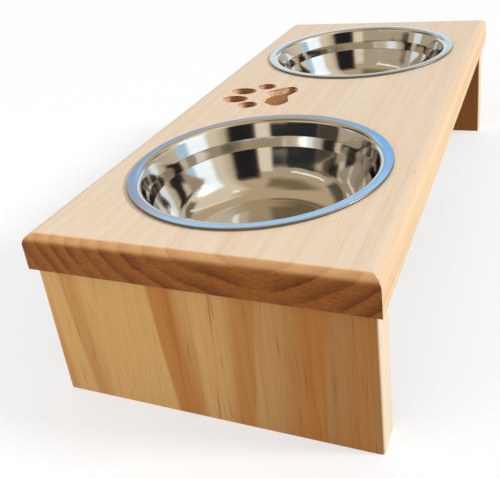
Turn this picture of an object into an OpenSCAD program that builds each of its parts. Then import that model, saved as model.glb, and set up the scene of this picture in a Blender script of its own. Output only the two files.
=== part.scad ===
// Raised dog feeder: a pine bench with two lift-out steel bowls.
// Millimetres. +X runs along the board, +Z is up, and the floor is z = 0.
// The origin is on the floor under the middle of the board.

/* [Top board] */
// Length of the board
board_l = 450; // [410:1:560]
// Width of the board
board_w = 195; // [180:1:280]
// Thickness of the board
board_t = 21; // [18:0.5:30]
// Radius of the rounded top edges
edge_round = 6; // [2:0.5:10]
// Height of the board's top above the floor
stand_h = 106; // [90:1:250]

/* [Legs] */
// Thickness of a leg panel
leg_t = 21; // [16:0.5:28]
// Setback of a leg from the end of the board
leg_end_inset = 3; // [0:0.5:8]
// Setback of a leg from each long side of the board
leg_side_inset = 3; // [0:0.5:15]
// Radius of a leg's upright edges
leg_round = 2; // [1:0.5:7]

/* [Dowels] */
// Diameter of a dowel
dowel_d = 8; // [6:0.5:10]
// Length of a dowel
dowel_l = 36; // [30:1:50]
// Distance from one dowel to the next along a leg
dowel_spacing = 62; // [40:1:70]
// Wood left between a dowel hole and the top of the board
dowel_cover = 6; // [4:0.5:8]
// Glue room at each end of a dowel
dowel_end_gap = 0.8; // [0.2:0.1:2]
// Radial gap between a dowel and its hole
dowel_fit = 0.1; // [0.05:0.05:0.3]
// Chamfer at each end of a dowel
dowel_chamfer = 1; // [0.4:0.1:1.5]
// Number of glue flutes round a dowel
flute_count = 12; // [6:1:16]
// Radius of a glue flute
flute_r = 0.5; // [0.2:0.1:0.7]

/* [Bowl rim] */
// Diameter over the rim
rim_d = 160; // [140:1:172]
// Width of the flat rim
rim_w = 7.5; // [6.5:0.5:12]
// Width of the hem folded under the rim
hem_w = 3; // [2:0.5:4]
// Height of the folded hem
hem_h = 1.5; // [1.3:0.1:2.4]
// Radius of the hem's outer corners
hem_round = 0.6; // [0.3:0.05:0.7]
// Thickness of the steel sheet
sheet_t = 0.7; // [0.5:0.1:1]
// Gap between the hem and the board it rests on
seat_gap = 0.1; // [0.05:0.05:0.3]

/* [Bowl wall] */
// Depth from the rim down to the floor of the bowl
bowl_depth = 48.5; // [38:0.5:60]
// Height of the upper wall
upper_wall_h = 11.5; // [8:0.5:14]
// How far the upper wall draws in
upper_wall_in = 4.2; // [3:0.1:6]
// Height of the steep band below the upper wall
band_h = 7.5; // [4:0.5:10]
// How far the steep band draws in
band_in = 1.2; // [0.5:0.1:2.4]
// Slope of the lower wall from upright, in degrees
lower_slope = 22; // [16:1:28]
// Radius between the rim and the upper wall
throat_round = 4; // [1.5:0.1:5]
// Radius of the creases above and below the steep band
crease_round = 1.5; // [1.2:0.1:4]
// Radius between the lower wall and the floor
floor_round = 26; // [14:0.5:30]

/* [Bowl holes] */
// Radial room between a bowl and its hole
hole_clearance = 1.2; // [0.8:0.1:2.5]
// Wood left between a bowl hole and the leg's inner face
hole_leg_gap = 5.6; // [3:0.1:15]

/* [Paw recess] */
// Depth of the recess
paw_depth = 5; // [2:0.5:10]
// Distance of the pad's middle behind the board's centre line
paw_back = 32; // [20:1:38]
// Width of the pad
pad_w = 48; // [36:1:50]
// Height of the pad
pad_h = 24.5; // [18:0.5:28]
// Width of the pad's flat crown before it is rounded
pad_crown_w = 21; // [16:1:26]
// Depth of the notch between the pad's two lobes
pad_notch = 5; // [2:0.5:7]
// Radius of the pad's crown
pad_crown_round = 9; // [5:0.5:10]
// Radius of the pad's lobes
pad_lobe_round = 6; // [3:0.5:7]
// Length of an inner toe
inner_toe_l = 21.5; // [14:0.5:24]
// Width of an inner toe
inner_toe_w = 14.5; // [8:0.5:16]
// Distance of an inner toe from the paw's axis
inner_toe_x = 9.1; // [8.5:0.1:11]
// Distance of an inner toe above the pad's middle
inner_toe_y = 32.8; // [28:0.1:38]
// Length of an outer toe
outer_toe_l = 16; // [12:0.5:20]
// Width of an outer toe
outer_toe_w = 13; // [8:0.5:14]
// Distance of an outer toe from the paw's axis
outer_toe_x = 20.7; // [20:0.1:26]
// Distance of an outer toe above the pad's middle
outer_toe_y = 17.7; // [15:0.1:20]

/* [Hidden] */
$fn = 96;
// Angle that one straight step of a rounded corner turns through
arc_step = 9;
toe_points = 40;
cut_extra = 1;

leg_h = stand_h - board_t;
leg_w = board_w - 2 * leg_side_inset;
leg_x = board_l / 2 - leg_end_inset - leg_t / 2;
leg_inner_x = leg_x - leg_t / 2;

dowel_in_board = board_t - dowel_cover - dowel_end_gap;
dowel_in_leg = dowel_l - dowel_in_board;

// Heights in the bowl are measured from the top of the board
rim_r = rim_d / 2;
rim_z = seat_gap + hem_h;
throat_r = rim_r - rim_w;
upper_r = throat_r - upper_wall_in;
upper_z = rim_z - upper_wall_h;
band_r = upper_r - band_in;
band_z = upper_z - band_h;
floor_z = rim_z - bowl_depth;
floor_r = band_r - (band_z - floor_z) * tan(lower_slope);

hole_r = throat_r + sheet_t + hole_clearance;
bowl_x = leg_inner_x - hole_leg_gap - hole_r;

pine = "burlywood";
beech = "tan";
steel = "silver";

sides = [["left", -1], ["right", 1]];
rows = [["front", -1], ["middle", 0], ["back", 1]];
function dowel_name(side, row) = str(side[0], "_dowel_", row[0]);
function dowel_at(side, row) = [side[1] * leg_x, row[1] * dowel_spacing, leg_h];

// Outlines with rounded corners: each corner is [x, y, radius]

function flat(p) = [p.x, p.y];
function unit(v) = v / norm(v);
// Smallest turn from one direction to another, in degrees
function turn(a) = (a + 540) % 360 - 180;
function heading(v) = atan2(v.y, v.x);

function corner_arc(before, at, after) =
    let (
        r = at.z,
        u = unit(flat(before) - flat(at)),
        v = unit(flat(after) - flat(at)),
        half = acos(u * v) / 2,
        centre = flat(at) + unit(u + v) * r / sin(half),
        start = heading(flat(at) + u * r / tan(half) - centre),
        sweep = turn(heading(flat(at) + v * r / tan(half) - centre) - start),
        steps = ceil(abs(sweep) / arc_step)
    )
    [for (i = [0 : steps]) let (a = start + sweep * i / steps) centre + r * [cos(a), sin(a)]];

function rounded(corners) =
    let (n = len(corners))
    [
        for (i = [0 : n - 1])
            each corners[i].z == 0
                ? [flat(corners[i])]
                : corner_arc(corners[(i + n - 1) % n], corners[i], corners[(i + 1) % n])
    ];

function ellipse(w, l) =
    [for (i = [0 : toe_points - 1]) let (a = 360 * i / toe_points) [w * cos(a), l * sin(a)] / 2];

// Bowl section: the sheet's inner face and, one sheet thickness outside it, its outer face

function right_of(v) = [v.y, -v.x];

// A corner moved to the sheet's outer face, with its bend radius changed to match
function outer_corner(before, at, after) =
    let (
        along = unit(flat(at) - flat(before)),
        ahead = unit(flat(after) - flat(at)),
        shift = (right_of(along) + right_of(ahead)) * sheet_t / (1 + along * ahead),
        bends_in = cross(along, ahead) > 0
    )
    concat(flat(at) + shift, at.z + (bends_in ? sheet_t : -sheet_t));

bowl_inside = [
    [0, floor_z, 0],
    [floor_r, floor_z, floor_round],
    [band_r, band_z, crease_round],
    [upper_r, upper_z, crease_round],
    [throat_r, rim_z, throat_round],
    [rim_r, rim_z, hem_round]
];
bowl_hem = [
    [rim_r, seat_gap, hem_round],
    [rim_r - hem_w, seat_gap, 0],
    [rim_r - hem_w, rim_z - sheet_t, 0]
];
bowl_outside = [
    for (i = [len(bowl_inside) - 2 : -1 : 1])
        outer_corner(bowl_inside[i - 1], bowl_inside[i], bowl_inside[i + 1]),
    [0, floor_z - sheet_t, 0]
];

module bowl(side) {
    color(steel)
        translate([side * bowl_x, 0, stand_h])
            rotate_extrude()
                polygon(rounded(concat(bowl_inside, bowl_hem, bowl_outside)));
}

// Board section across one of its directions: square below, round on top
module board_section(w) {
    translate([-w / 2, 0])
        square([w, board_t - edge_round]);
    translate([-w / 2 + edge_round, 0])
        square([w - 2 * edge_round, board_t]);
    for (s = [-1, 1])
        translate([s * (w / 2 - edge_round), board_t - edge_round])
            circle(edge_round);
}

// The two sections cross, so the rounded edges meet in mitres at the corners
module board_blank() {
    intersection() {
        rotate([90, 0, 90])
            linear_extrude(board_l, center = true)
                board_section(board_w);
        rotate([90, 0, 0])
            linear_extrude(board_w, center = true)
                board_section(board_l);
    }
}

// Pad of the paw: a round crown over two lobes with a notch between them
module paw_pad() {
    base_y = -pad_h / 2;
    polygon(rounded([
        [-pad_crown_w / 2, pad_h / 2, pad_crown_round],
        [-pad_w / 2, base_y + pad_lobe_round, pad_lobe_round],
        [-pad_w / 4, base_y, pad_lobe_round],
        [0, base_y + pad_notch, pad_notch],
        [pad_w / 4, base_y, pad_lobe_round],
        [pad_w / 2, base_y + pad_lobe_round, pad_lobe_round],
        [pad_crown_w / 2, pad_h / 2, pad_crown_round]
    ]));
}

// One toe on each side of the paw's axis
module paw_toes(w, l, x, y) {
    for (s = [-1, 1])
        translate([s * x, y])
            polygon(ellipse(w, l));
}

module paw_cut() {
    translate([0, paw_back, stand_h - paw_depth])
        linear_extrude(paw_depth + cut_extra) {
            paw_pad();
            paw_toes(inner_toe_w, inner_toe_l, inner_toe_x, inner_toe_y);
            paw_toes(outer_toe_w, outer_toe_l, outer_toe_x, outer_toe_y);
        }
}

module bowl_cut(side) {
    translate([side * bowl_x, 0, leg_h - cut_extra])
        cylinder(h = board_t + 2 * cut_extra, r = hole_r);
}

// Blind holes for one leg's dowels, half in the leg and half in the board
module dowel_cuts(side) {
    for (row = rows)
        translate(dowel_at(side, row) - [0, 0, dowel_in_leg + dowel_end_gap])
            cylinder(h = dowel_l + 2 * dowel_end_gap, d = dowel_d + 2 * dowel_fit);
}

module top_board() {
    color(pine)
        difference() {
            translate([0, 0, leg_h])
                board_blank();
            paw_cut();
            for (side = sides) {
                bowl_cut(side[1]);
                dowel_cuts(side);
            }
        }
}

module leg_section() {
    for (trim = [[0, leg_round], [leg_round, 0]])
        square([leg_t - 2 * trim.x, leg_w - 2 * trim.y], center = true);
    for (sx = [-1, 1])
        for (sy = [-1, 1])
            translate([sx * (leg_t / 2 - leg_round), sy * (leg_w / 2 - leg_round)])
                circle(leg_round);
}

module leg(side) {
    color(pine)
        difference() {
            translate([side[1] * leg_x, 0, 0])
                linear_extrude(leg_h)
                    leg_section();
            dowel_cuts(side);
        }
}

module dowel(side, row) {
    r = dowel_d / 2;
    color(beech)
        translate(dowel_at(side, row) - [0, 0, dowel_in_leg])
            difference() {
                rotate_extrude()
                    polygon([
                        [0, 0],
                        [r - dowel_chamfer, 0],
                        [r, dowel_chamfer],
                        [r, dowel_l - dowel_chamfer],
                        [r - dowel_chamfer, dowel_l],
                        [0, dowel_l]
                    ]);
                for (i = [0 : flute_count - 1])
                    rotate(360 * i / flute_count)
                        translate([r, 0, -cut_extra])
                            cylinder(h = dowel_l + 2 * cut_extra, r = flute_r);
            }
}

top_board();
leg(sides[0]);  // left_leg
leg(sides[1]);  // right_leg
bowl(-1);  // left_bowl
bowl(1);  // right_bowl
for (side = sides)
    for (row = rows)
        dowel(side, row);
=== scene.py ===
import math

import bmesh
import bpy
from mathutils import Matrix, Vector


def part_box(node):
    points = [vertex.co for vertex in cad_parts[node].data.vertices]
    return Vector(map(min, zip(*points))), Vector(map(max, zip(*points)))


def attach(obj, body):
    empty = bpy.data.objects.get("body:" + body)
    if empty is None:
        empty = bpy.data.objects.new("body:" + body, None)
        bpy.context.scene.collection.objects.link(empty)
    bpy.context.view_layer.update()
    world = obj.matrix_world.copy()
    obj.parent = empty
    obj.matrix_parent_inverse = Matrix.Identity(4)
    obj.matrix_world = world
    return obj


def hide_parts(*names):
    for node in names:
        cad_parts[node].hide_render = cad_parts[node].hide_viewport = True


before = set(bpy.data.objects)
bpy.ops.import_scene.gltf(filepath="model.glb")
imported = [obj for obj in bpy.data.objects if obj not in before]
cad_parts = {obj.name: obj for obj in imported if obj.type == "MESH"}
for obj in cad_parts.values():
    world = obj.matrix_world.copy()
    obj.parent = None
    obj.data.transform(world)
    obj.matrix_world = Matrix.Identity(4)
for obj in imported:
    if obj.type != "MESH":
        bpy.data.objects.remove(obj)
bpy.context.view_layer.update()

# Camera, fitted to the photograph's outlines
PHOTO_W = 500
PHOTO_H = 478
PRINCIPAL_Y_PX = 173
FOCAL_PX = 696.2
SENSOR_MM = 36
CAMERA_AT = Vector((-0.4695, -0.1592, 0.2764))
CAMERA_YAW = 0.4444
CAMERA_PITCH = -0.429
CAMERA_ROLL = -0.1299

# Bowl section in metres, with heights counted from the top of the rim
RIM_W = 0.0075
HEM_W = 0.003
HEM_H = 0.0015
HEM_ROUND = 0.0006
SHEET_T = 0.0007
BOWL_DEPTH = 0.0485
UPPER_WALL_H = 0.0115
UPPER_WALL_IN = 0.0042
BAND_H = 0.0075
BAND_IN = 0.0012
LOWER_SLOPE = math.radians(22)
THROAT_ROUND = 0.004
CREASE_ROUND = 0.0015
FLOOR_ROUND = 0.026

# How finely a bowl is spun
SPIN_STEPS = 128
ARC_STEP = math.radians(5)
RUN_STEP = 0.003
SHARP_EDGE = math.radians(40)

# Axes: fibres run along X in the board and along Z in the legs and dowels
AXIS_X = 0
AXIS_Y = 1
AXIS_Z = 2


def srgb(red, green, blue):
    """A colour written in the usual 0 to 255 steps, as the linear values that shaders take."""
    def linear(step):
        share = step / 255
        return share / 12.92 if share <= 0.04045 else ((share + 0.055) / 1.055) ** 2.4
    return (linear(red), linear(green), linear(blue), 1)


class Graph:
    """Short calls that add and join the shader nodes of one material or world."""

    def __init__(self, owner):
        owner.use_nodes = True
        self.tree = owner.node_tree
        self.tree.nodes.clear()

    def add(self, kind, inputs, **settings):
        node = self.tree.nodes.new("ShaderNode" + kind)
        for name, value in settings.items():
            setattr(node, name, value)
        for key, value in inputs.items():
            if isinstance(value, bpy.types.NodeSocket):
                self.tree.links.new(value, node.inputs[key])
            else:
                node.inputs[key].default_value = value
        return node

    def coords(self):
        return self.add("TexCoord", {}).outputs["Object"]

    def normal(self):
        return self.add("TexCoord", {}).outputs["Normal"]

    def split(self, vector):
        return self.add("SeparateXYZ", {0: vector}).outputs

    def join(self, x, y, z):
        return self.add("CombineXYZ", {0: x, 1: y, 2: z}).outputs[0]

    def math(self, operation, a, b=0.0):
        return self.add("Math", {0: a, 1: b}, operation=operation).outputs[0]

    def plus(self, a, b):
        return self.math("ADD", a, b)

    def times(self, a, b):
        return self.math("MULTIPLY", a, b)

    def length(self, a, b):
        """The length of a line that runs a one way and b square to it."""
        return self.math("SQRT", self.plus(self.times(a, a), self.times(b, b)))

    def vector(self, operation, a, b):
        return self.add("VectorMath", {0: a, 1: b}, operation=operation).outputs[0]

    def smooth(self, value, low, high):
        """0 below low, 1 above high, and a soft step between."""
        inputs = {"Value": value, "From Min": low, "From Max": high}
        return self.add("MapRange", inputs, interpolation_type="SMOOTHSTEP").outputs[0]

    def spread(self, value, low, high):
        """A share from 0 to 1 taken to the range from low to high."""
        return self.add("MapRange", {"Value": value, "To Min": low, "To Max": high}).outputs[0]

    def noise(self, vector, detail=2.0):
        return self.add("TexNoise", {"Vector": vector, "Scale": 1.0, "Detail": detail}).outputs[0]

    def mix(self, share, start, end, **settings):
        inputs = {0: share, 6: start, 7: end}
        return self.add("Mix", inputs, data_type="RGBA", **settings).outputs[2]

    def shade(self, share, colour, tint):
        """The colour, multiplied by the tint as far as the share says."""
        return self.mix(share, colour, tint, blend_type="MULTIPLY")

    def ramp(self, share, stops):
        node = self.add("ValToRGB", {0: share})
        elements = node.color_ramp.elements
        while len(elements) < len(stops):
            elements.new(1.0)
        for element, (place, level) in zip(elements, stops):
            element.position = place
            element.color = (level, level, level, 1)
        return node.outputs[0]

    def finish(self, shader, kind="OutputMaterial"):
        self.add(kind, {0: shader.outputs[0]})


# Wood. A TURNS pair says how often a noise turns in a metre along and across the fibres. The other
# pairs say where a soft step starts and ends, or the range that a share is taken to.

FIBRE_COARSE_TURNS = (9, 420)
FIBRE_FINE_TURNS = (40, 1900)
FIBRE_COARSE_SHARE = 0.6
FLECK_STEP = 0.08
FIBRE_RELIEF = 0.0001
FIBRE_RELIEF_STRENGTH = 0.35
WOOD_ROUGHNESS = (0.42, 0.62)
WOOD_SPECULAR = 0.25

# How squarely a face looks along an axis: where a rounded edge starts to show, and a flat face
ROUND_LEAN = (0.1, 0.4)
FACE_LEAN = (0.75, 1.0)


def stretched(graph, coords, grain, along, across):
    """Coordinates whose noise is drawn out along the fibres."""
    scale = [across] * 3
    scale[grain] = along
    return graph.vector("MULTIPLY", coords, scale)


def lean(graph, axis):
    """How squarely a face looks along an axis, either way: 0 to 1."""
    return graph.math("ABSOLUTE", graph.split(graph.normal())[axis])


def fibres(graph, coords, grain):
    """Fine drawn-out lines of the wood's fibres."""
    coarse = graph.noise(stretched(graph, coords, grain, *FIBRE_COARSE_TURNS), 3)
    fine = graph.noise(stretched(graph, coords, grain, *FIBRE_FINE_TURNS))
    return graph.plus(graph.times(coarse, FIBRE_COARSE_SHARE), graph.times(fine, 1 - FIBRE_COARSE_SHARE))


def flecks(graph, coords, grain, along, across, rarity):
    """Scattered dark dashes: the cut resin canals."""
    dots = graph.noise(stretched(graph, coords, grain, along, across), 1)
    return graph.smooth(dots, rarity, rarity + FLECK_STEP)


def wood_finish(graph, colour, fibre):
    """Satin sanded wood whose fibres show in its gloss and relief."""
    relief = graph.add("Bump", {
        "Strength": FIBRE_RELIEF_STRENGTH,
        "Distance": FIBRE_RELIEF,
        "Height": fibre,
    })
    shader = graph.add("BsdfPrincipled", {
        "Base Color": colour,
        "Roughness": graph.spread(fibre, *WOOD_ROUGHNESS),
        "Specular IOR Level": WOOD_SPECULAR,
        "Normal": relief.outputs[0],
    })
    graph.finish(shader)


# Growth rings of the board: the tree's heart lay above it, right of its middle
HEART_Y = -0.0325
HEART_Z = 0.166
RING_W = 0.0092
RING_START = 0.073
RING_PROFILE = [(0, 1), (0.07, 0.1), (0.3, 0), (0.8, 0.75), (1, 1)]
RING_SWAY = 0.009
RING_SWAY_TURNS = (2.5, 14)

# The board's top and long edges
BOARD_PALE = srgb(231, 210, 184)
BOARD_LATE = srgb(222, 188, 152)
BOARD_MOTTLE_TURNS = (5, 30)
BOARD_LATE_SHARE = (0, 0.55)
EDGE_TINT = srgb(253, 245, 236)
EDGE_TINT_LEAN = (0.1, 0.5)
EDGE_PALE = srgb(250, 218, 176)
EDGE_LATE = srgb(244, 198, 148)
EDGE_STREAKS = (0.3, 0.6)
BOARD_FIBRE = (0.45, 0.75)
BOARD_FIBRE_TINT = srgb(246, 239, 231)
BOARD_FLECKS = {"along": 130, "across": 1500, "rarity": 0.68}
BOARD_FLECK_SHARE = 0.5
BOARD_FLECK_TINT = srgb(190, 150, 112)

# The board's sawn ends and the rounded edges above them
END_EDGE = srgb(214, 162, 108)
END_EDGE_RINGS = 0.3
END_PALE = srgb(162, 98, 38)
END_LATE = srgb(114, 59, 15)
END_MOTTLE_TURNS = (4, 38)
END_STREAKS = (0.24, 0.6)
END_PORE = srgb(212, 193, 170)
END_PORES = (0.45, 0.7)
SAW_MARKS = (300, 400, 1900)

# The routed paw and the part of the board that it lies in. Its floor is browned with painted shade and its
# walls are lightened with painted light; walls that face along X are end grain deepened with painted shade
ROUTED_FLOOR_PAINTED_SHADE = srgb(166, 116, 64)
ROUTED_FLOOR_PAINTED_SHADE_SPECK = srgb(108, 64, 28)
ROUTED_FLOOR_PAINTED_SHADE_LEAN = (0.3, 0.8)
ROUTED_WALL_PAINTED_LIGHT = srgb(252, 230, 202)
ROUTED_END_GRAIN_AND_SHADE = srgb(166, 112, 58)
ROUTED_SPECK = srgb(178, 130, 88)
ROUTED_SPECKS = (0.52, 0.66)
ROUTED_SPECK_TURNS = 900
PAW_REACH_X = 0.03
PAW_START_Y = 0.01
PAW_END_Y = 0.085
PAW_SHALLOW = 0.0003
PAW_DEEP = 0.002


def board_rings(graph, coords):
    """Share of dense late wood, by the distance from the tree's heart."""
    sway = graph.noise(stretched(graph, coords, AXIS_X, *RING_SWAY_TURNS))
    x, y, z = graph.split(coords)
    reach = graph.length(graph.plus(y, -HEART_Y), graph.plus(z, -HEART_Z))
    swayed = graph.plus(reach, graph.spread(sway, -RING_SWAY, RING_SWAY))
    turns = graph.times(graph.plus(swayed, -RING_START), 1 / RING_W)
    return graph.ramp(graph.math("FRACT", turns), RING_PROFILE)


def long_faces(graph, coords, late):
    """The board's pale top, and its warmer long edges with their streaks."""
    mottle = graph.noise(stretched(graph, coords, AXIS_X, *BOARD_MOTTLE_TURNS), 3)
    late_share = graph.times(late, graph.spread(mottle, *BOARD_LATE_SHARE))
    colour = graph.mix(late_share, BOARD_PALE, BOARD_LATE)
    sideways = lean(graph, AXIS_Y)
    colour = graph.shade(graph.smooth(sideways, *EDGE_TINT_LEAN), colour, EDGE_TINT)
    streaks = graph.times(late, graph.smooth(mottle, *EDGE_STREAKS))
    edge = graph.mix(streaks, EDGE_PALE, EDGE_LATE)
    return graph.mix(graph.smooth(sideways, *FACE_LEAN), colour, edge)


def sawn_ends(graph, coords, late):
    """The board's brown ends, with darker growth rings and fine saw marks."""
    mottle = graph.noise(stretched(graph, coords, AXIS_X, *END_MOTTLE_TURNS))
    streaks = graph.times(late, graph.smooth(mottle, *END_STREAKS))
    colour = graph.mix(streaks, END_PALE, END_LATE)
    pores = graph.noise(graph.vector("MULTIPLY", coords, SAW_MARKS), 3)
    return graph.shade(graph.smooth(pores, *END_PORES), colour, END_PORE)


def paw_mask(graph, coords):
    """1 on the walls and the floor of the routed paw."""
    top_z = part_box("top_board")[1].z
    x, y, z = graph.split(coords)
    below = graph.smooth(z, top_z - PAW_SHALLOW, top_z - PAW_DEEP)
    near_x = graph.math("LESS_THAN", graph.math("ABSOLUTE", x), PAW_REACH_X)
    past_start = graph.math("GREATER_THAN", y, PAW_START_Y)
    before_end = graph.math("LESS_THAN", y, PAW_END_Y)
    return graph.times(graph.times(below, near_x), graph.times(past_start, before_end))


def routed(graph, coords):
    """The paw's floor, browned with painted shade, and its walls, lightened with painted light, torn in
    dark specks; its walls cut across the fibres are end grain deepened with painted shade.
    """
    torn = graph.noise(graph.vector("MULTIPLY", coords, [ROUTED_SPECK_TURNS] * 3), 3)
    specks = graph.smooth(torn, *ROUTED_SPECKS)
    # Painted light: the recess walls are pale, as if lit
    wall_light_and_shade = graph.mix(specks, ROUTED_WALL_PAINTED_LIGHT, ROUTED_SPECK)
    # End grain, deepened with painted shade, on walls that face along X
    wall_light_and_shade = graph.mix(graph.smooth(lean(graph, AXIS_X), *FACE_LEAN), wall_light_and_shade, ROUTED_END_GRAIN_AND_SHADE)
    up = graph.split(graph.normal())[AXIS_Z]
    # Painted shade: upward faces of the recess, its floor, are brown with darker specks
    floor = graph.mix(specks, ROUTED_FLOOR_PAINTED_SHADE, ROUTED_FLOOR_PAINTED_SHADE_SPECK)
    return graph.mix(graph.smooth(up, *ROUTED_FLOOR_PAINTED_SHADE_LEAN), wall_light_and_shade, floor)


def board_pine():
    material = bpy.data.materials.new("board_pine")
    graph = Graph(material)
    coords = graph.coords()
    late = board_rings(graph, coords)
    fibre = fibres(graph, coords, AXIS_X)
    endways = lean(graph, AXIS_X)
    end_edge = graph.mix(graph.times(late, END_EDGE_RINGS), END_EDGE, END_PALE)
    end_face = sawn_ends(graph, coords, late)
    across_grain = graph.mix(graph.smooth(endways, *FACE_LEAN), end_edge, end_face)
    along_grain = long_faces(graph, coords, late)
    colour = graph.mix(graph.smooth(endways, *ROUND_LEAN), along_grain, across_grain)
    colour = graph.mix(paw_mask(graph, coords), colour, routed(graph, coords))
    colour = graph.shade(graph.smooth(fibre, *BOARD_FIBRE), colour, BOARD_FIBRE_TINT)
    dashes = flecks(graph, coords, AXIS_X, **BOARD_FLECKS)
    colour = graph.shade(graph.times(dashes, BOARD_FLECK_SHARE), colour, BOARD_FLECK_TINT)
    wood_finish(graph, colour, fibre)
    return material


# Growth bands across a leg's outer face: where a band starts softly, where it ends sharply, its strength
LEG_BANDS = [
    (0.106, 0.119, 0.6),
    (0.088, 0.099, 0.5),
    (0.0645, 0.0775, 0.55),
    (0.001, 0.023, 1.0),
    (-0.0135, -0.029, 0.8),
    (-0.0445, -0.0665, 0.95),
    (-0.0755, -0.0905, 0.6),
    (-0.1, -0.109, 0.3),
]
BAND_HALF_W = 0.13
BAND_EDGE = 0.0012
BAND_SOFT_SHARE = 0.5

# How the bands wander, draw together towards the top and slant into the panel
BAND_SWAY = 0.004
BAND_SWAY_TURNS = (7, 22)
BAND_NARROWING = 0.075
BAND_SLANT = 0.9
LEG_MIDDLE_Z = 0.0425

# The legs' colours, from the outer face to the inner one; the inner face is darkened with painted shade and
# the sides are lightened with painted light
LEG_PALE = srgb(226, 179, 114)
LEG_DEEP = srgb(188, 136, 80)
LEG_DEEPENS = (0.02, -0.08)
LEG_LATE = srgb(192, 126, 60)
LEG_LATE_SHARE = (0.6, 1.2)
LEG_MOTTLE_TURNS = (9, 160)
LEG_SIDE_PAINTED_LIGHT = srgb(252, 233, 205)
LEG_SIDE_PAINTED_LIGHT_LEAN = (0.5, 1.0)
LEG_INNER_PAINTED_SHADE = srgb(176, 116, 62)
LEG_SHADE_DEPTH = 0.01
LEG_FIBRE = (0.42, 0.75)
LEG_FIBRE_TINT = srgb(240, 228, 214)

# Resin in the legs: one long broken line, and short dashes
RESIN = srgb(120, 72, 36)
RESIN_SHARE = 0.55
RESIN_LINE = -0.0075
RESIN_LINE_W = 0.0003
RESIN_BREAKS = (0.4, 0.55)
LEG_FLECKS = {"along": 30, "across": 1300, "rarity": 0.69}


def band_stops():
    """The growth bands as the stops of a ramp over the panel's width."""
    def share(place):
        return (place + BAND_HALF_W) / (2 * BAND_HALF_W)
    stops = []
    for soft, sharp, strength in LEG_BANDS:
        outward = math.copysign(BAND_EDGE, sharp - soft)
        stops.append((share(soft), 0))
        stops.append((share(soft + BAND_SOFT_SHARE * (sharp - soft)), strength))
        stops.append((share(sharp), strength))
        stops.append((share(sharp + outward), 0))
    return sorted(stops)


def leg_places(graph, coords, node, side):
    """How deep a point lies behind a leg's outer face, and where it lies across the growth bands."""
    x, y, z = graph.split(coords)
    low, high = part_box(node)
    face_x = low.x if side < 0 else high.x
    depth = graph.times(graph.plus(x, -face_x), -side)
    sway = graph.noise(stretched(graph, coords, AXIS_Z, *BAND_SWAY_TURNS))
    across = graph.plus(graph.times(y, -side), graph.spread(sway, -BAND_SWAY, BAND_SWAY))
    across = graph.plus(across, graph.times(depth, BAND_SLANT))
    rise = graph.times(graph.plus(z, -LEG_MIDDLE_Z), BAND_NARROWING)
    narrowing = graph.times(rise, graph.math("SIGN", y))
    return depth, graph.plus(across, graph.times(narrowing, side))


def leg_faces(graph, depth, across, late):
    """The colours of a leg's outer face, its inner face darkened with painted shade, its sides lightened
    with painted light, and its ends.
    """
    pale = graph.mix(graph.smooth(across, *LEG_DEEPENS), LEG_PALE, LEG_DEEP)
    colour = graph.mix(late, pale, LEG_LATE)
    # Painted shade: the leg turns darker deep behind its outer face, on the inner face
    inner = graph.smooth(depth, LEG_SHADE_DEPTH, 2 * LEG_SHADE_DEPTH)
    colour = graph.mix(inner, colour, LEG_INNER_PAINTED_SHADE)
    # Painted light: faces that look along Y turn pale cream, as if lit
    sideways = graph.smooth(lean(graph, AXIS_Y), *LEG_SIDE_PAINTED_LIGHT_LEAN)
    colour = graph.mix(sideways, colour, LEG_SIDE_PAINTED_LIGHT)
    endways = graph.smooth(lean(graph, AXIS_Z), *FACE_LEAN)
    return graph.mix(endways, colour, graph.mix(late, END_PALE, END_LATE))


def resin_line(graph, across, mottle):
    """A thin dark line along the fibres, broken where the mottle is pale."""
    off_line = graph.math("ABSOLUTE", graph.plus(across, -RESIN_LINE))
    line = graph.smooth(off_line, 2 * RESIN_LINE_W, RESIN_LINE_W)
    return graph.times(line, graph.smooth(mottle, *RESIN_BREAKS))


def leg_pine(node, side):
    material = bpy.data.materials.new(node + "_pine")
    graph = Graph(material)
    coords = graph.coords()
    depth, across = leg_places(graph, coords, node, side)
    share = graph.times(graph.plus(across, BAND_HALF_W), 1 / (2 * BAND_HALF_W))
    mottle = graph.noise(stretched(graph, coords, AXIS_Z, *LEG_MOTTLE_TURNS), 3)
    late = graph.times(graph.ramp(share, band_stops()), graph.spread(mottle, *LEG_LATE_SHARE))
    fibre = fibres(graph, coords, AXIS_Z)
    colour = leg_faces(graph, depth, across, late)
    colour = graph.shade(graph.smooth(fibre, *LEG_FIBRE), colour, LEG_FIBRE_TINT)
    dashes = flecks(graph, coords, AXIS_Z, **LEG_FLECKS)
    resin = graph.math("MAXIMUM", resin_line(graph, across, mottle), dashes)
    colour = graph.mix(graph.times(resin, RESIN_SHARE), colour, RESIN)
    wood_finish(graph, colour, fibre)
    return material


BEECH_PALE = srgb(226, 194, 158)
BEECH_DARK = srgb(196, 154, 112)
BEECH_RAYS = {"along": 350, "across": 2200, "rarity": 0.62}
BEECH_RAY_TINT = srgb(176, 128, 88)


def beech():
    """Dowel wood: pinkish tan, close-grained, with short dark ray flecks."""
    material = bpy.data.materials.new("beech")
    graph = Graph(material)
    coords = graph.coords()
    fibre = fibres(graph, coords, AXIS_Z)
    colour = graph.mix(fibre, BEECH_PALE, BEECH_DARK)
    rays = flecks(graph, coords, AXIS_Z, **BEECH_RAYS)
    colour = graph.shade(rays, colour, BEECH_RAY_TINT)
    wood_finish(graph, colour, fibre)
    return material


# Bowls

STEEL_BRIGHT = (0.80, 0.79, 0.77, 1)
STEEL_LINES = (0.72, 0.71, 0.69, 1)
STEEL_HEM_PAINTED_SHADE = (0.20, 0.19, 0.18, 1)
STEEL_ROUGHNESS = (0.04, 0.12)
HEM_ROUGHNESS = 0.2
HEM_SHADE_W = 0.0007
TURNED_LINES = 1800
TURNED_LINE_SHARE = 0.004
RIPPLE_TURNS = 34
RIPPLE_H = 0.0001


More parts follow.
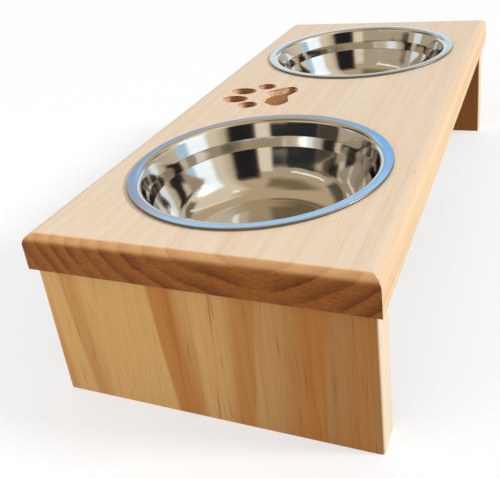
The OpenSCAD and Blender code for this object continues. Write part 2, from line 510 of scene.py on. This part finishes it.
def corner_arc(before, at, after, bend):
    """Points of the arc that rounds one corner of a section."""
    back = (before - at).normalized()
    ahead = (after - at).normalized()
    half = back.angle(ahead) / 2
    centre = at + (back + ahead).normalized() * (bend / math.sin(half))
    reach = bend / math.tan(half)
    first = at + back * reach - centre
    last = at + ahead * reach - centre
    sweep = -first.angle_signed(last)
    steps = math.ceil(abs(sweep) / ARC_STEP)
    return [centre + Matrix.Rotation(sweep * i / steps, 2) @ first for i in range(steps + 1)]


def rounded(corners):
    """The section's points: corners are (place, bend radius), and the two ends stay sharp."""
    points = [corners[0][0]]
    for before, (at, bend), after in zip(corners, corners[1:], corners[2:]):
        points += corner_arc(before[0], at, after[0], bend) if bend else [at]
    return points + [corners[-1][0]]


def stepped(points):
    """The same points, with long straight runs cut into short steps."""
    result = [points[0]]
    for start, end in zip(points, points[1:]):
        steps = max(1, math.ceil((end - start).length / RUN_STEP))
        result += [start.lerp(end, i / steps) for i in range(1, steps + 1)]
    return result


def right_of(way):
    return Vector((way.y, -way.x))


def outer_corner(before, at, after):
    """A corner moved to the sheet's outer face, with its bend radius to match."""
    along = (at[0] - before[0]).normalized()
    ahead = (after[0] - at[0]).normalized()
    shift = (right_of(along) + right_of(ahead)) * (SHEET_T / (1 + along.dot(ahead)))
    bends_in = along.cross(ahead) > 0
    return at[0] + shift, at[1] + (SHEET_T if bends_in else -SHEET_T)


def bowl_section(rim_r):
    """The steel sheet's outline, from the middle of the floor round the rim and back below."""
    throat_r = rim_r - RIM_W
    upper_r = throat_r - UPPER_WALL_IN
    band_r = upper_r - BAND_IN
    band_z = -UPPER_WALL_H - BAND_H
    floor_r = band_r - (BOWL_DEPTH + band_z) * math.tan(LOWER_SLOPE)
    inside = [
        (Vector((0, -BOWL_DEPTH)), 0),
        (Vector((floor_r, -BOWL_DEPTH)), FLOOR_ROUND),
        (Vector((band_r, band_z)), CREASE_ROUND),
        (Vector((upper_r, -UPPER_WALL_H)), CREASE_ROUND),
        (Vector((throat_r, 0)), THROAT_ROUND),
        (Vector((rim_r, 0)), HEM_ROUND),
    ]
    hem = [
        (Vector((rim_r, -HEM_H)), HEM_ROUND),
        (Vector((rim_r - HEM_W, -HEM_H)), 0),
        (Vector((rim_r - HEM_W, -SHEET_T)), 0),
    ]
    trios = list(zip(inside, inside[1:], inside[2:]))
    outside = [outer_corner(*trio) for trio in reversed(trios)]
    below = [(Vector((0, -BOWL_DEPTH - SHEET_T)), 0)]
    return stepped(rounded(inside + hem + outside + below))


def spun(name, section):
    """A mesh turned from a section that starts and ends on the axis."""
    mesh = bmesh.new()
    turns = [2 * math.pi * i / SPIN_STEPS for i in range(SPIN_STEPS)]
    rings = []
    for r, z in section[1:-1]:
        rings.append([mesh.verts.new((r * math.cos(a), r * math.sin(a), z)) for a in turns])
    for middle, ring in ((section[0], rings[0]), (section[-1], rings[-1])):
        hub = mesh.verts.new((0, 0, middle.y))
        for i in range(SPIN_STEPS):
            mesh.faces.new((hub, ring[i], ring[(i + 1) % SPIN_STEPS]))
    for low, high in zip(rings, rings[1:]):
        for i in range(SPIN_STEPS):
            j = (i + 1) % SPIN_STEPS
            mesh.faces.new((low[i], low[j], high[j], high[i]))
    bmesh.ops.recalc_face_normals(mesh, faces=mesh.faces)
    data = bpy.data.meshes.new(name)
    mesh.to_mesh(data)
    mesh.free()
    data.shade_smooth()
    data.set_sharp_from_angle(angle=SHARP_EDGE)
    return data


def rim_radius(node):
    low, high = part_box(node)
    return (high.x - low.x) / 2


def turned_lines(graph, x, y, z, radius):
    """Fine lines round the axis, which change slowly on the way round."""
    out_x = graph.math("DIVIDE", x, radius)
    out_y = graph.math("DIVIDE", y, radius)
    place = graph.join(out_x, out_y, graph.times(radius, TURNED_LINES))
    inputs = {"Vector": place, "W": graph.times(z, TURNED_LINES), "Scale": 1.0}
    return graph.add("TexNoise", inputs, noise_dimensions="4D").outputs[0]


def polished_steel():
    """Drawn and polished sheet: fine turning lines, a slow ripple that bends reflections, and a rougher
    outer hem darkened with painted shade.
    """
    material = bpy.data.materials.new("polished_steel")
    graph = Graph(material)
    coords = graph.coords()
    x, y, z = graph.split(coords)
    radius = graph.length(x, y)
    lines = turned_lines(graph, x, y, z, radius)
    ripple = graph.noise(graph.vector("MULTIPLY", coords, [RIPPLE_TURNS] * 3), 1)
    height = graph.plus(ripple, graph.times(lines, TURNED_LINE_SHARE))
    relief = graph.add("Bump", {"Strength": 1.0, "Distance": RIPPLE_H, "Height": height})
    rim_r = rim_radius("left_bowl")
    # Painted shade: the hem's outer round and outer side turn dark
    hem = graph.smooth(radius, rim_r - HEM_SHADE_W, rim_r)
    sheet = graph.mix(lines, STEEL_BRIGHT, STEEL_LINES)
    sheet_roughness = graph.spread(lines, *STEEL_ROUGHNESS)
    shader = graph.add("BsdfPrincipled", {
        "Base Color": graph.mix(hem, sheet, STEEL_HEM_PAINTED_SHADE),
        "Metallic": 1.0,
        "Roughness": graph.plus(sheet_roughness, graph.times(hem, HEM_ROUGHNESS)),
        "Normal": relief.outputs[0],
    })
    graph.finish(shader)
    return material


def make_bowl(node, steel):
    low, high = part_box(node)
    section = bowl_section(rim_radius(node))
    bowl = bpy.data.objects.new(node + "_steel", spun(node + "_steel", section))
    bowl.location = ((low.x + high.x) / 2, (low.y + high.y) / 2, high.z)
    bowl.data.materials.append(steel)
    bpy.context.scene.collection.objects.link(bowl)
    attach(bowl, node)
    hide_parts(node)


# Studio

WHITE = (1, 1, 1, 1)
FLOOR_HALF = 8
FLOOR_COLOUR = (0.95, 0.95, 0.95, 1)
FLOOR_BOUNCE = (0.27, 0.23, 0.19, 1)
FLOOR_GLOW = 0.55
SKY_FOOT = 0.36
SKY_TOP = 0.82
FILL_AT = Vector((-0.75, 0.42, 0.22))
FILL_AIM = Vector((-0.22, 0, 0.06))
FILL_SIZE = 0.3
FILL_LEVEL = 0.36
WINDOW_WAY = Vector((-0.25, 1, -0.58))
WINDOW_LEVEL = 0.68
WINDOW_SOFTNESS = math.radians(12)

# The studio's tent, which only shows in polished metal
TENT_R = 20
TENT_RINGS = 24
TENT_LEVEL = 1.3
TENT_FOOT = srgb(164, 151, 130)
TENT_TOP = srgb(174, 152, 120)
TENT_RISE = (5, 60)
TENT_SWAY = 4
TENT_SWAY_TURNS = 4

# Patches on the tent, which stand in for the unseen room. Each has, in degrees, its middle round the object
# from +X, half its width, its lower and upper height and the softness of its edge, and then its colour.
# Later patches lie over earlier ones.
TENT_PATCHES = [
    # At the left: a dim ceiling, a pale wall and a strip lamp
    (142, 48, 50, 78, 9, srgb(116, 99, 73)),
    (150, 34, 23, 37, 3, srgb(164, 150, 126)),
    (140, 24, 29, 33, 1.5, srgb(246, 240, 228)),
    # At the right: a curtain, a window with a blue pane, a dim wall and a thin lamp
    (285, 44, 8, 74, 8, srgb(206, 192, 168)),
    (270, 13, 4, 42, 4, srgb(240, 249, 252)),
    (287, 6, 2, 22, 3, srgb(160, 192, 212)),
    (322, 16, 23, 36, 3, srgb(112, 98, 80)),
    (324, 1.5, 32, 76, 1, srgb(242, 228, 206)),
    # Behind the camera: a dark figure with a brown edge, a pale gap, a cabinet and a door
    (219, 16, 6, 48, 3, srgb(94, 78, 62)),
    (219, 13, 6, 40, 3, srgb(30, 29, 30)),
    (196, 7, 6, 30, 2, srgb(212, 200, 176)),
    (162, 25, 4, 20.5, 1.5, srgb(34, 36, 37)),
    (126, 12, 2, 19, 2, srgb(66, 60, 50)),
    # At the far left: a shelf and a small pane
    (82, 24, 21, 39, 4, srgb(80, 76, 64)),
    (98, 7, 10, 20, 2, srgb(206, 216, 214)),
    # Ahead: pale ground, and the blue that the rims mirror
    (20, 34, 2, 18, 1.5, srgb(204, 220, 228)),
    (34, 26, 21, 25, 2, srgb(140, 164, 200)),
    (14, 13, 22.5, 31, 2, srgb(124, 178, 236)),
    (24, 12, 26, 31, 2, srgb(162, 204, 240)),
    # A small lamp overhead
    (268, 6, 65, 71, 2, srgb(252, 247, 238)),
]


def seen_directly(graph):
    """1 for rays that show a surface to the eye, straight or in metal or glass."""
    path = graph.add("LightPath", {}).outputs
    shown = graph.math("MAXIMUM", path["Is Camera Ray"], path["Is Glossy Ray"])
    return graph.math("MAXIMUM", shown, path["Is Transmission Ray"])


def make_floor():
    """A pale floor that the eye sees with its shadow, and that throws a dimmer, warmer light back."""
    mesh = bpy.data.meshes.new("floor")
    corners = [(-1, -1), (1, -1), (1, 1), (-1, 1)]
    mesh.from_pydata([(x * FLOOR_HALF, y * FLOOR_HALF, 0) for x, y in corners], [], [(0, 1, 2, 3)])
    material = bpy.data.materials.new("floor")
    graph = Graph(material)
    lit = graph.add("BsdfDiffuse", {"Color": FLOOR_COLOUR})
    glow = graph.add("Emission", {"Color": WHITE})
    seen = graph.add("MixShader", {0: FLOOR_GLOW, 1: lit.outputs[0], 2: glow.outputs[0]})
    bounce = graph.add("BsdfDiffuse", {"Color": FLOOR_BOUNCE})
    graph.finish(graph.add("MixShader", {
        0: seen_directly(graph),
        1: bounce.outputs[0],
        2: seen.outputs[0],
    }))
    mesh.materials.append(material)
    floor = bpy.data.objects.new("floor", mesh)
    bpy.context.scene.collection.objects.link(floor)


def make_world():
    """White to the eye, and a sky that lights surfaces from above more than from the side."""
    world = bpy.data.worlds.new("studio")
    bpy.context.scene.world = world
    graph = Graph(world)
    rise = graph.split(graph.add("TexCoord", {}).outputs["Generated"])[AXIS_Z]
    sky = graph.spread(graph.smooth(rise, 0, 1), SKY_FOOT, SKY_TOP)
    level = graph.math("MAXIMUM", seen_directly(graph), sky)
    graph.finish(graph.add("Background", {"Color": WHITE, "Strength": level}), "OutputWorld")


def make_window():
    """The main light: a far window on the right, low enough to rake across the board."""
    data = bpy.data.lights.new("window", "SUN")
    data.energy = math.pi * WINDOW_LEVEL
    data.angle = WINDOW_SOFTNESS
    lamp = bpy.data.objects.new("window", data)
    lamp.rotation_mode = "QUATERNION"
    lamp.rotation_quaternion = WINDOW_WAY.to_track_quat("-Z", "Y")
    bpy.context.scene.collection.objects.link(lamp)


def make_fill():
    """A small soft lamp at the near left, which fades across the near leg and shows in no metal."""
    data = bpy.data.lights.new("fill", "AREA")
    data.size = FILL_SIZE
    way = FILL_AIM - FILL_AT
    data.energy = FILL_LEVEL * math.pi ** 2 * way.length_squared
    lamp = bpy.data.objects.new("fill", data)
    lamp.visible_glossy = False
    lamp.location = FILL_AT
    lamp.rotation_mode = "QUATERNION"
    lamp.rotation_quaternion = way.to_track_quat("-Z", "Y")
    bpy.context.scene.collection.objects.link(lamp)


def tent_patch(graph, turn, height, middle, half, low, high, soft):
    """1 inside a patch of the tent, with a soft edge."""
    past = graph.add("Math", {0: graph.plus(turn, -middle), 1: 180, 2: -180}, operation="WRAP")
    inside = graph.smooth(graph.math("ABSOLUTE", past.outputs[0]), half + soft, half - soft)
    above = graph.smooth(height, low - soft, low + soft)
    below = graph.smooth(height, high + soft, high - soft)
    return graph.times(inside, graph.times(above, below))


def tent_colour(graph):
    """The tent's colour by direction, in degrees round the object and above the floor."""
    way = graph.vector("NORMALIZE", graph.coords(), (0, 0, 0))
    x, y, z = graph.split(way)
    swayed = graph.noise(graph.vector("MULTIPLY", way, [TENT_SWAY_TURNS] * 3), 3)
    sway = graph.spread(swayed, -TENT_SWAY, TENT_SWAY)
    turn = graph.plus(graph.math("DEGREES", graph.math("ARCTAN2", y, x)), sway)
    height = graph.plus(graph.math("DEGREES", graph.math("ARCSINE", z)), sway)
    colour = graph.mix(graph.smooth(height, *TENT_RISE), TENT_FOOT, TENT_TOP)
    for *place, patch in TENT_PATCHES:
        colour = graph.mix(tent_patch(graph, turn, height, *place), colour, patch)
    return colour


def make_tent():
    mesh = bmesh.new()
    bmesh.ops.create_uvsphere(mesh, u_segments=2 * TENT_RINGS, v_segments=TENT_RINGS, radius=TENT_R)
    data = bpy.data.meshes.new("tent")
    mesh.to_mesh(data)
    mesh.free()
    material = bpy.data.materials.new("tent")
    graph = Graph(material)
    graph.finish(graph.add("Emission", {"Color": tent_colour(graph), "Strength": TENT_LEVEL}))
    data.materials.append(material)
    tent = bpy.data.objects.new("tent", data)
    tent.visible_camera = False
    tent.visible_diffuse = False
    tent.visible_shadow = False
    bpy.context.scene.collection.objects.link(tent)


def make_camera():
    forward = Vector((
        math.cos(CAMERA_PITCH) * math.cos(CAMERA_YAW),
        math.cos(CAMERA_PITCH) * math.sin(CAMERA_YAW),
        math.sin(CAMERA_PITCH),
    ))
    right = forward.cross(Vector((0, 0, 1))).normalized()
    level = Matrix((right, right.cross(forward), -forward)).transposed()
    data = bpy.data.cameras.new("camera")
    data.sensor_width = SENSOR_MM
    data.lens = SENSOR_MM * FOCAL_PX / PHOTO_W
    data.shift_y = (PRINCIPAL_Y_PX - PHOTO_H / 2) / PHOTO_W
    camera = bpy.data.objects.new("camera", data)
    turned = level @ Matrix.Rotation(CAMERA_ROLL, 3, "Z")
    camera.matrix_world = Matrix.Translation(CAMERA_AT) @ turned.to_4x4()
    bpy.context.scene.collection.objects.link(camera)
    bpy.context.scene.camera = camera


def give(node, material):
    """A carried-over node takes the material on all its slots."""
    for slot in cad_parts[node].material_slots:
        slot.material = material


make_camera()
make_floor()
make_world()
make_window()
make_fill()
make_tent()
bpy.context.scene.view_settings.view_transform = "Standard"

give("top_board", board_pine())
give("left_leg", leg_pine("left_leg", -1))
give("right_leg", leg_pine("right_leg", 1))
dowel_beech = beech()
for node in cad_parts:
    if "_dowel_" in node:
        give(node, dowel_beech)
steel = polished_steel()
for node in ("left_bowl", "right_bowl"):
    make_bowl(node, steel)
